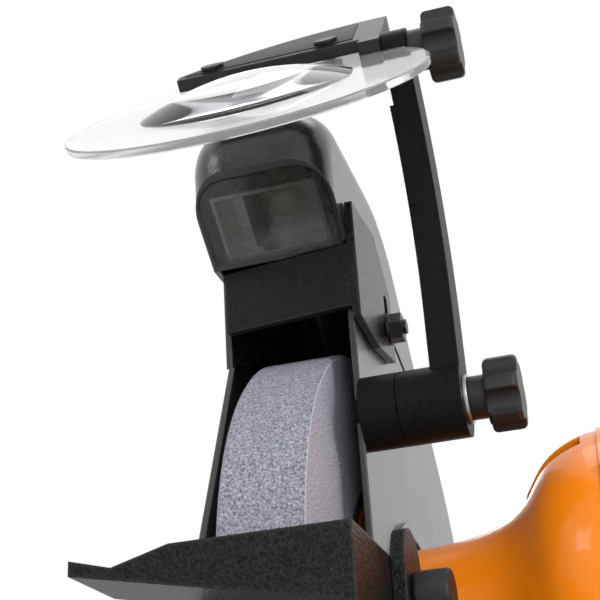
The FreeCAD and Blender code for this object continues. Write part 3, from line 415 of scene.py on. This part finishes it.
class GRINDER_OT_rests(bpy.types.Operator):
    """Wrinkle coat on spark arrestors, tool rests, brackets and the bottom plate"""
    bl_idname = "grinder.rests"
    bl_label = "Wrinkle coat"

    def execute(self, context):
        finish = context.scene.grinder_finish
        paint = Paint("wrinkle_black", Specular_IOR_Level=0.11)
        grain = paint.noise(WRINKLE_GRAIN, detail=3.0, roughness=0.6)
        pits = paint.cells(WRINKLE_PITS)
        body = paint.tones(grain, shaded(finish.wrinkle, 0.4), shaded(finish.wrinkle, 3.2),
                           low=0.36, high=0.66)
        paint.colour(paint.mix((paint.edge_wear_and_highlight() * 0.3).clamped(), body, WRINKLE_WORN))
        paint.rough(0.28 + grain * 0.14)
        paint.bump(grain + pits * 0.6, strength=0.45, distance=0.0005, edge=finish.edge)
        dress(paint, "rest_brackets", "base_plate", "left_tool_rest", "right_tool_rest")
        self.arrestors(finish)
        return {"FINISHED"}

    def arrestors(self, finish):
        """The same coat on the arrestor plates, rubbed smoother on the legs that slide on the guards."""
        paint = Paint("arrestor_black", Specular_IOR_Level=0.13)
        across = paint.axes()[0]
        leg = (across * across).below(ARRESTOR_LEG_X ** 2)
        grain = paint.noise(WRINKLE_GRAIN, detail=3.0, roughness=0.6)
        body = paint.tones(grain, shaded(finish.wrinkle, 0.3), shaded(finish.wrinkle, 2.4),
                           low=0.36, high=0.66)
        paint.colour(paint.mix((paint.edge_wear_and_highlight() * 0.3).clamped(), body, ARRESTOR_WORN))
        paint.rough(0.4 + grain * 0.2 - leg * 0.3)
        pits = paint.cells(WRINKLE_PITS)
        paint.bump(grain + pits * 0.6, strength=0.35, distance=0.0004, edge=finish.edge)
        dress(paint, "left_spark_arrestor", "right_spark_arrestor")


class GRINDER_OT_arms(bpy.types.Operator):
    """Satin black on arms and bosses, moulded black plastic on knobs and clamps"""
    bl_idname = "grinder.arms"
    bl_label = "Arms and knobs"

    def execute(self, context):
        finish = context.scene.grinder_finish
        satin = Paint("arm_black", Specular_IOR_Level=0.06)
        cast = satin.noise(900.0, detail=3.0)
        satin.colour(satin.tones(cast, shaded(finish.arm, 0.7), shaded(finish.arm, 1.5), high=0.75))
        satin.rough(0.33 + cast * 0.15)
        satin.bump(cast, strength=0.18, distance=0.0003, edge=finish.edge)
        dress(satin, "shield_bosses", "left_shield_arm", "right_shield_arm")
        moulded = Paint("knob_black", Specular_IOR_Level=0.4)
        skin = moulded.noise(1300.0, detail=2.0)
        moulded.colour(moulded.tones(skin, shaded(finish.arm, 0.9), shaded(finish.arm, 1.8), high=0.8))
        moulded.rough(0.36 + skin * 0.16)
        moulded.bump(skin, strength=0.15, distance=0.0003, edge=1.4 * finish.edge)
        dress(moulded, *[side + part for side in SIDES
                         for part in ("_arm_knob", "_tilt_knob", "_rest_knob", "_shield_clamp")])
        return {"FINISHED"}


class GRINDER_OT_wheels(bpy.types.Operator):
    """Grey abrasive grain on the wheels with painted light on their flanks, printed paper on their labels
    """
    bl_idname = "grinder.wheels"
    bl_label = "Wheels and labels"

    def execute(self, context):
        finish = context.scene.grinder_finish
        stone = Paint("abrasive_grey", Specular_IOR_Level=0.3)
        scale = 1.0 / finish.grain
        grain = stone.noise(scale, detail=2.0, roughness=0.7)
        pores = stone.cells(scale * 0.8)
        drift = stone.noise(22.0, detail=2.0)
        body = stone.ramp(grain, [(0.34, shaded(finish.stone, 0.3)), (0.46, shaded(finish.stone, 0.85)),
                                  (0.58, shaded(finish.stone, 1.1)), (0.7, shaded(finish.stone, 1.9))])
        # The flat sides of the wheels are painted lighter than the face: painted light on the side faces
        across = stone.axes()[0]
        away = across.sum("ABSOLUTE", across) - WHEEL_X
        painted_light_flank = (away * away).above(WHEEL_FLANK ** 2)
        body = stone.mix(drift * 0.15, body, shaded(finish.stone, 1.1))
        stone.colour(stone.mix(painted_light_flank * 0.5, body, shaded(finish.stone, 2.2)))
        stone.rough(0.8 + grain * 0.18)
        stone.bump(grain * 0.7 + pores, strength=0.6, distance=0.0006)
        dress(stone, "left_wheel", "right_wheel")
        label = Paint("label_paper", Roughness=0.7)
        _, back, up = label.axes()
        height = up - joint("rotor_spin")["pos_m"][2]
        reach = back * back + height * height
        inner, outer = LABEL_RING_R
        rings = reach.above(LABEL_RIM_R ** 2) + reach.below(outer ** 2) * reach.above(inner ** 2)
        fibre = label.noise(1200.0, detail=3.0)
        paper = label.tones(fibre, shaded(finish.label, 0.9), shaded(finish.label, 1.1))
        label.colour(label.mix(rings.clamped(), paper, LABEL_INK))
        label.bump(fibre, strength=0.2, distance=0.0002)
        dress(label, "wheel_labels")
        return {"FINISHED"}


class GRINDER_OT_shields(bpy.types.Operator):
    """Clear plastic discs, a domed magnifier and the inlaid faces of the clamps"""
    bl_idname = "grinder.shields"
    bl_label = "Eye shields"

    def clear_plastic(self):
        clear = Paint("clear_shield", Transmission_Weight=0.88, IOR=1.2, Specular_IOR_Level=0.4)
        dust = clear.noise(900.0, detail=2.0, roughness=0.7)
        smear = clear.noise(30.0, detail=3.0)
        haze = clear.tones(smear, *SHIELD_HAZE)
        clear.colour(clear.mix(((dust - 0.6) * 4.0).clamped(), haze, SHIELD_DUST))
        clear.rough((dust - 0.5) * 0.16 + 0.03)
        clear.bump(dust, strength=0.04, distance=0.0002)
        return clear

    def dome(self, tinted):
        """A shallow cap cut from a ball, standing on the disc's upper face."""
        low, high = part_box("left_magnifier_lens")
        tilt = Matrix.Rotation(SHIELD_TILT, 4, "X")
        ball = (DOME_RADIUS ** 2 + DOME_RISE ** 2) / (2 * DOME_RISE)
        foot = ball - DOME_RISE
        clear_selection()
        bpy.ops.mesh.primitive_uv_sphere_add(segments=96, ring_count=256, radius=ball, location=(0, 0, 0))
        piece = bpy.context.object
        bpy.ops.object.mode_set(mode="EDIT")
        bpy.ops.mesh.select_all(action="SELECT")
        bpy.ops.mesh.bisect(plane_co=(0, 0, foot), plane_no=(0, 0, 1), use_fill=True, clear_inner=True)
        bpy.ops.object.mode_set(mode="OBJECT")
        up = tilt @ Vector((0, 0, 1))
        slope = tilt @ Vector((0, 1, 0))
        pivot = Vector(joint("left_lens_tilt")["pos_m"])
        middle = Vector(((low.x + high.x) / 2, pivot.y, pivot.z)) - DISC_REACH * slope
        place = Matrix.Translation(middle + (DISC_TOP + DOME_LIFT - foot) * up) @ tilt
        settle(piece, "magnifier_dome", "left_lens", tinted, place)
        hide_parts("left_magnifier_lens")

    def inlay(self, side, sign, paint):
        """A thin D-shaped plate let into the clamp's sloping face."""
        middle, radius = circle_through(*CLAMP_OUTLINE)
        clear_selection()
        bpy.ops.mesh.primitive_circle_add(
            vertices=192, radius=radius - INLAY_MARGIN, fill_type="NGON",
            location=(sign * middle.x, middle.y, 0))
        piece = bpy.context.object
        bpy.ops.object.transform_apply(location=True, rotation=False, scale=False)
        bpy.ops.object.mode_set(mode="EDIT")
        for place, way in (((0, INLAY_MARGIN, 0), (0, -1, 0)), ((sign * INLAY_END, 0, 0), (sign, 0, 0))):
            bpy.ops.mesh.select_all(action="SELECT")
            bpy.ops.mesh.bisect(plane_co=place, plane_no=way, clear_outer=True, use_fill=False)
        bpy.ops.mesh.select_all(action="SELECT")
        bpy.ops.mesh.extrude_region_move(TRANSFORM_OT_translate={"value": (0, 0, INLAY_DEPTH)})
        bpy.ops.mesh.select_all(action="SELECT")
        bpy.ops.mesh.normals_make_consistent(inside=False)
        bpy.ops.object.mode_set(mode="OBJECT")
        bevel = piece.modifiers.new("edge", "BEVEL")
        bevel.width = INLAY_EDGE
        bevel.segments = 2
        apply_all(piece)
        pivot = Vector(joint(side + "_lens_tilt")["pos_m"])
        origin = Vector((-sign * WHEEL_X, pivot.y, pivot.z))
        place = (Matrix.Translation(origin) @ Matrix.Rotation(SHIELD_TILT, 4, "X")
                 @ Matrix.Translation(CLAMP_FACE) @ Matrix.Rotation(CLAMP_SLOPE, 4, "X"))
        settle(piece, side + "_clamp_inlay", side + "_lens", paint, place)

    def execute(self, context):
        clear = self.clear_plastic()
        satin = Paint("clamp_face", Specular_IOR_Level=0.12)
        skin = satin.noise(1400.0, detail=2.0)
        satin.colour(satin.tones(skin, *INLAY_BLACK, high=0.75))
        satin.rough(0.5 + skin * 0.15)
        for side, sign in SIDE_SIGNS:
            self.inlay(side, sign, satin)
        dress(clear, "left_shield_disc", "right_shield_disc", "left_magnifier_lens")
        tinted = Paint("magnifier_clear", Transmission_Weight=1.0, IOR=1.28,
                       Specular_IOR_Level=0.5, Roughness=0.02)
        tinted.colour(tinted.tones(tinted.noise(26.0, detail=2.0), *MAGNIFIER_TINT))
        self.dome(tinted)
        return {"FINISHED"}


class GRINDER_OT_lamps(bpy.types.Operator):
    """Smoked lenses, bulbs, reflectors and sockets in the hoods, with a dark fin of painted shade by each
    bulb
    """
    bl_idname = "grinder.lamps"
    bl_label = "Lamps"

    def fin(self, side, sign, paint):
        """Dark fin beside the bulb in the reflector tray behind the lens, painting the shade band there."""
        clear_selection()
        beside, deep, low = SHADE_FIN_PLACE
        bpy.ops.mesh.primitive_cube_add(size=1.0, location=(-sign * beside, deep, low))
        piece = bpy.context.object
        piece.scale = SHADE_FIN_SIZE
        bpy.ops.object.transform_apply(location=True, rotation=True, scale=True)
        bpy.ops.object.mode_set(mode="EDIT")
        bpy.ops.mesh.select_all(action="SELECT")
        bpy.ops.mesh.bevel(offset=SHADE_FIN_EDGE, segments=3)
        bpy.ops.object.mode_set(mode="OBJECT")
        place = Matrix.Translation((-sign * WHEEL_X, *LENS_MIDDLE)) @ Matrix.Rotation(LENS_TILT, 4, "X")
        settle(piece, side + "_lamp_baffle", "frame", paint, place)

    def execute(self, context):
        finish = context.scene.grinder_finish
        # A dark fin beside each bulb paints the band of shade there
        shade = Paint("shade_fin_black", Roughness=0.7)
        shade.colour(shade.tones(shade.noise(300.0), *SHADE_FIN_BLACK))
        for side, sign in SIDE_SIGNS:
            self.fin(side, sign, shade)
        smoke = Paint("lamp_lens", Alpha=0.42, Roughness=0.12, Coat_Weight=0.5, Coat_Roughness=0.05)
        flow = smoke.noise(40.0, detail=2.0)
        smoke.colour(smoke.tones(flow, shaded(finish.lamp, 0.8), shaded(finish.lamp, 1.2)))
        dress(smoke, "lamp_lenses")
        glass = Paint("bulb_glass", Transmission_Weight=0.6, IOR=1.45)
        glass.colour(glass.tones(glass.noise(60.0), *BULB_GLASS))
        glass.rough(0.04 + glass.noise(200.0) * 0.08)
        dress(glass, "lamp_bulbs")
        bright = Paint("reflector", Metallic=1.0)
        bright.colour(bright.tones(bright.noise(50.0), *REFLECTOR_METAL))
        bright.rough(0.2 + bright.noise(300.0) * 0.15)
        dress(bright, "lamp_reflectors")
        fired = Paint("socket_ceramic", Roughness=0.5)
        fired.colour(fired.tones(fired.noise(250.0), *SOCKET_CERAMIC))
        dress(fired, "lamp_sockets")
        return {"FINISHED"}


class GRINDER_OT_hardware(bpy.types.Operator):
    """Zinc-plated fasteners, spindle, flanges and bearings"""
    bl_idname = "grinder.hardware"
    bl_label = "Hardware"

    def execute(self, context):
        finish = context.scene.grinder_finish
        zinc = Paint("zinc_steel", Metallic=1.0)
        bloom = zinc.noise(180.0, detail=4.0)
        turned = zinc.noise(2200.0, detail=2.0)
        zinc.colour(zinc.tones(bloom, shaded(finish.steel, 0.72), shaded(finish.steel, 1.1)))
        zinc.rough(0.24 + bloom * 0.14 + turned * 0.08)
        zinc.bump(turned, strength=0.08, distance=0.0002, edge=finish.edge * 0.6)
        dress(zinc, "rotor_shaft", "wheel_flanges", "spindle_nuts", "bracket_bolts", "arm_washers",
              "cover_screws", "guard_screws", "shell_screws", "saddle_bolts", "base_screws",
              "left_rest_nut", "right_rest_nut", "bearings")
        dark = Paint("black_oxide", Metallic=0.8)
        stain = dark.noise(260.0, detail=4.0)
        dark.colour(dark.tones(stain, *OXIDE_BLACK, high=0.75))
        dark.rough(0.3 + stain * 0.15)
        dark.bump(stain, strength=0.08, distance=0.0002, edge=finish.edge * 0.6)
        dress(dark, "arrestor_bolts", "left_clamp_screws", "right_clamp_screws")
        return {"FINISHED"}


class GRINDER_OT_motor(bpy.types.Operator):
    """Laminated cores, copper windings, fan and capacitor inside the housing"""
    bl_idname = "grinder.motor"
    bl_label = "Motor inside"

    def execute(self, context):
        core = Paint("core_steel", Metallic=1.0, Roughness=0.45)
        along = core.axes()[0]
        sheets = along.sum("PINGPONG", along * LAMINATIONS_PER_M, 1.0)
        core.colour(core.tones(sheets, *CORE_STEEL))
        core.bump(sheets, strength=0.3, distance=0.0002)
        dress(core, "stator_core", "rotor_core")
        copper = Paint("copper_wire", Metallic=1.0, Roughness=0.3, Coat_Weight=0.5)
        strands = copper.noise(500.0, detail=2.0, roughness=0.5, distortion=1.5)
        copper.colour(copper.tones(strands, *COPPER_WIRE))
        copper.bump(strands, strength=0.5, distance=0.0006)
        dress(copper, "stator_coils")
        fan = Paint("fan_black")
        skin = fan.noise(600.0, detail=2.0)
        fan.colour(fan.tones(skin, *FAN_BLACK))
        fan.rough(0.45 + skin * 0.15)
        dress(fan, "cooling_fan")
        can = Paint("can_aluminium", Metallic=1.0)
        drawn = can.noise(300.0, detail=3.0)
        can.colour(can.tones(drawn, *CAN_ALUMINIUM))
        can.rough(0.28 + drawn * 0.15)
        dress(can, "capacitor")
        return {"FINISHED"}


class GRINDER_OT_base(bpy.types.Operator):
    """Rubber feet and cord gland, switch bezel and rocker"""
    bl_idname = "grinder.base"
    bl_label = "Feet and switch"

    def execute(self, context):
        rubber = Paint("foot_rubber", Specular_IOR_Level=0.35)
        bloom = rubber.noise(350.0, detail=4.0)
        rubber.colour(rubber.tones(bloom, *FOOT_RUBBER, high=0.75))
        rubber.rough(0.6 + bloom * 0.2)
        rubber.bump(bloom, strength=0.15, distance=0.0003)
        dress(rubber, "rubber_feet", "cord_gland")
        bezel = Paint("switch_black", Specular_IOR_Level=0.5)
        skin = bezel.noise(1400.0, detail=2.0)
        bezel.colour(bezel.tones(skin, *SWITCH_BLACK, high=0.75))
        bezel.rough(0.38 + skin * 0.15)
        bezel.bump(skin, strength=0.12, distance=0.0002, edge=0.0006)
        dress(bezel, "switch_bezel")
        rocker = Paint("switch_green", Coat_Weight=0.4)
        across, _, up = rocker.axes()
        height = up - joint("switch_rock")["pos_m"][2]
        side = across * across
        low, high = SWITCH_BAR_Z
        bar = height.above(low) * height.below(high) * side.below(SWITCH_BAR_HALF ** 2)
        span = height - SWITCH_RING_Z
        reach = side + span * span
        inner, outer = SWITCH_RING_R
        ring = reach.below(outer ** 2) * reach.above(inner ** 2)
        tint = rocker.tones(rocker.noise(90.0), *SWITCH_GREEN)
        rocker.colour(rocker.mix((bar + ring).clamped(), tint, SWITCH_MARK))
        rocker.rough(0.25 + rocker.noise(800.0) * 0.1)
        dress(rocker, "switch_rocker")
        return {"FINISHED"}


# Stage

class GRINDER_OT_stage(bpy.types.Operator):
    """Pale floor, white surroundings, soft boxes and the photographer's camera"""
    bl_idname = "grinder.stage"
    bl_label = "Studio stage"

    def backdrop(self, scene):
        world = bpy.data.worlds.new("studio")
        scene.world = world
        world.use_nodes = True
        tree = world.node_tree
        tree.nodes.clear()
        rays = tree.nodes.new("ShaderNodeLightPath")
        through = tree.nodes.new("ShaderNodeMath")
        through.operation = "MAXIMUM"
        tree.links.new(rays.outputs["Is Glossy Ray"], through.inputs[0])
        tree.links.new(rays.outputs["Is Transmission Ray"], through.inputs[1])
        seen = tree.nodes.new("ShaderNodeMath")
        seen.operation = "MAXIMUM"
        tree.links.new(rays.outputs["Is Camera Ray"], seen.inputs[0])
        tree.links.new(through.outputs[0], seen.inputs[1])
        soft = tree.nodes.new("ShaderNodeBackground")
        soft.inputs["Color"].default_value = WHITE
        soft.inputs["Strength"].default_value = SURROUND_LIGHT
        white = tree.nodes.new("ShaderNodeBackground")
        white.inputs["Strength"].default_value = 1.0
        white.inputs["Color"].default_value = WHITE
        blend = tree.nodes.new("ShaderNodeMixShader")
        out = tree.nodes.new("ShaderNodeOutputWorld")
        tree.links.new(seen.outputs[0], blend.inputs[0])
        tree.links.new(soft.outputs[0], blend.inputs[1])
        tree.links.new(white.outputs[0], blend.inputs[2])
        tree.links.new(blend.outputs[0], out.inputs["Surface"])

    def floor(self, stage):
        clear_selection()
        bpy.ops.mesh.primitive_circle_add(
            vertices=96, radius=FLOOR_RADIUS, fill_type="NGON", location=(0, 0, FLOOR_Z))
        floor = bpy.context.object
        floor.name = "studio_floor"
        paint = Paint("floor_paper", Roughness=0.9)
        paint.colour(paint.tones(paint.noise(3.0), shaded(stage.floor, 0.99), rgba(stage.floor)))
        floor.data.materials.append(paint.material)

    def soft_box(self, name, place, target, size, power):
        lamp = bpy.data.lights.new(name, "AREA")
        lamp.shape = "RECTANGLE"
        lamp.size, lamp.size_y = size
        lamp.energy = power
        box = bpy.data.objects.new(name, lamp)
        bpy.context.scene.collection.objects.link(box)
        way = Vector(target) - Vector(place)
        box.matrix_world = Matrix.Translation(place) @ way.to_track_quat("-Z", "Y").to_matrix().to_4x4()

    def camera(self, scene, stage):
        view = bpy.data.cameras.new("photo_view")
        view.sensor_width = SENSOR_WIDTH
        view.lens = stage.lens
        view.clip_start = CLIP_START
        eye = bpy.data.objects.new("photo_view", view)
        scene.collection.objects.link(eye)
        ahead = CAMERA_AHEAD.normalized()
        side = (CAMERA_SIDE - ahead * CAMERA_SIDE.dot(ahead)).normalized()
        above = side.cross(ahead)
        turn = Matrix((side, above, -ahead)).transposed().to_4x4()
        eye.matrix_world = Matrix.Translation(stage.eye) @ turn
        scene.camera = eye

    def execute(self, context):
        scene = context.scene
        stage = scene.grinder_stage
        scene.view_settings.view_transform = "Standard"
        self.backdrop(scene)
        self.floor(stage)
        for name, place, target, size, share in SOFT_BOXES:
            self.soft_box(name, place, target, size, stage.key * share)
        self.camera(scene, stage)
        return {"FINISHED"}


class GRINDER_PT_panel(bpy.types.Panel):
    """Lists the finishes and the stage"""
    bl_idname = "GRINDER_PT_panel"
    bl_label = "Bench grinder"
    bl_space_type = "VIEW_3D"
    bl_region_type = "UI"
    bl_category = "Grinder"

    def draw(self, context):
        for operator in OPERATORS:
            self.layout.operator(operator.bl_idname)
        for key in GrinderFinish.__annotations__:
            self.layout.prop(context.scene.grinder_finish, key)
        for key in GrinderStage.__annotations__:
            self.layout.prop(context.scene.grinder_stage, key)


OPERATORS = (GRINDER_OT_housing, GRINDER_OT_guards, GRINDER_OT_rests, GRINDER_OT_arms, GRINDER_OT_wheels,
             GRINDER_OT_shields, GRINDER_OT_lamps, GRINDER_OT_hardware, GRINDER_OT_motor, GRINDER_OT_base,
             GRINDER_OT_stage)
CLASSES = (GrinderFinish, GrinderStage) + OPERATORS + (GRINDER_PT_panel,)


def register():
    for cls in CLASSES:
        bpy.utils.register_class(cls)
    bpy.types.Scene.grinder_finish = bpy.props.PointerProperty(type=GrinderFinish)
    bpy.types.Scene.grinder_stage = bpy.props.PointerProperty(type=GrinderStage)


def unregister():
    del bpy.types.Scene.grinder_stage
    del bpy.types.Scene.grinder_finish
    for cls in reversed(CLASSES):
        bpy.utils.unregister_class(cls)


def main():
    register()
    for operator in OPERATORS:
        group, name = operator.bl_idname.split(".")
        getattr(getattr(bpy.ops, group), name)()


if __name__ == "__main__":
    main()
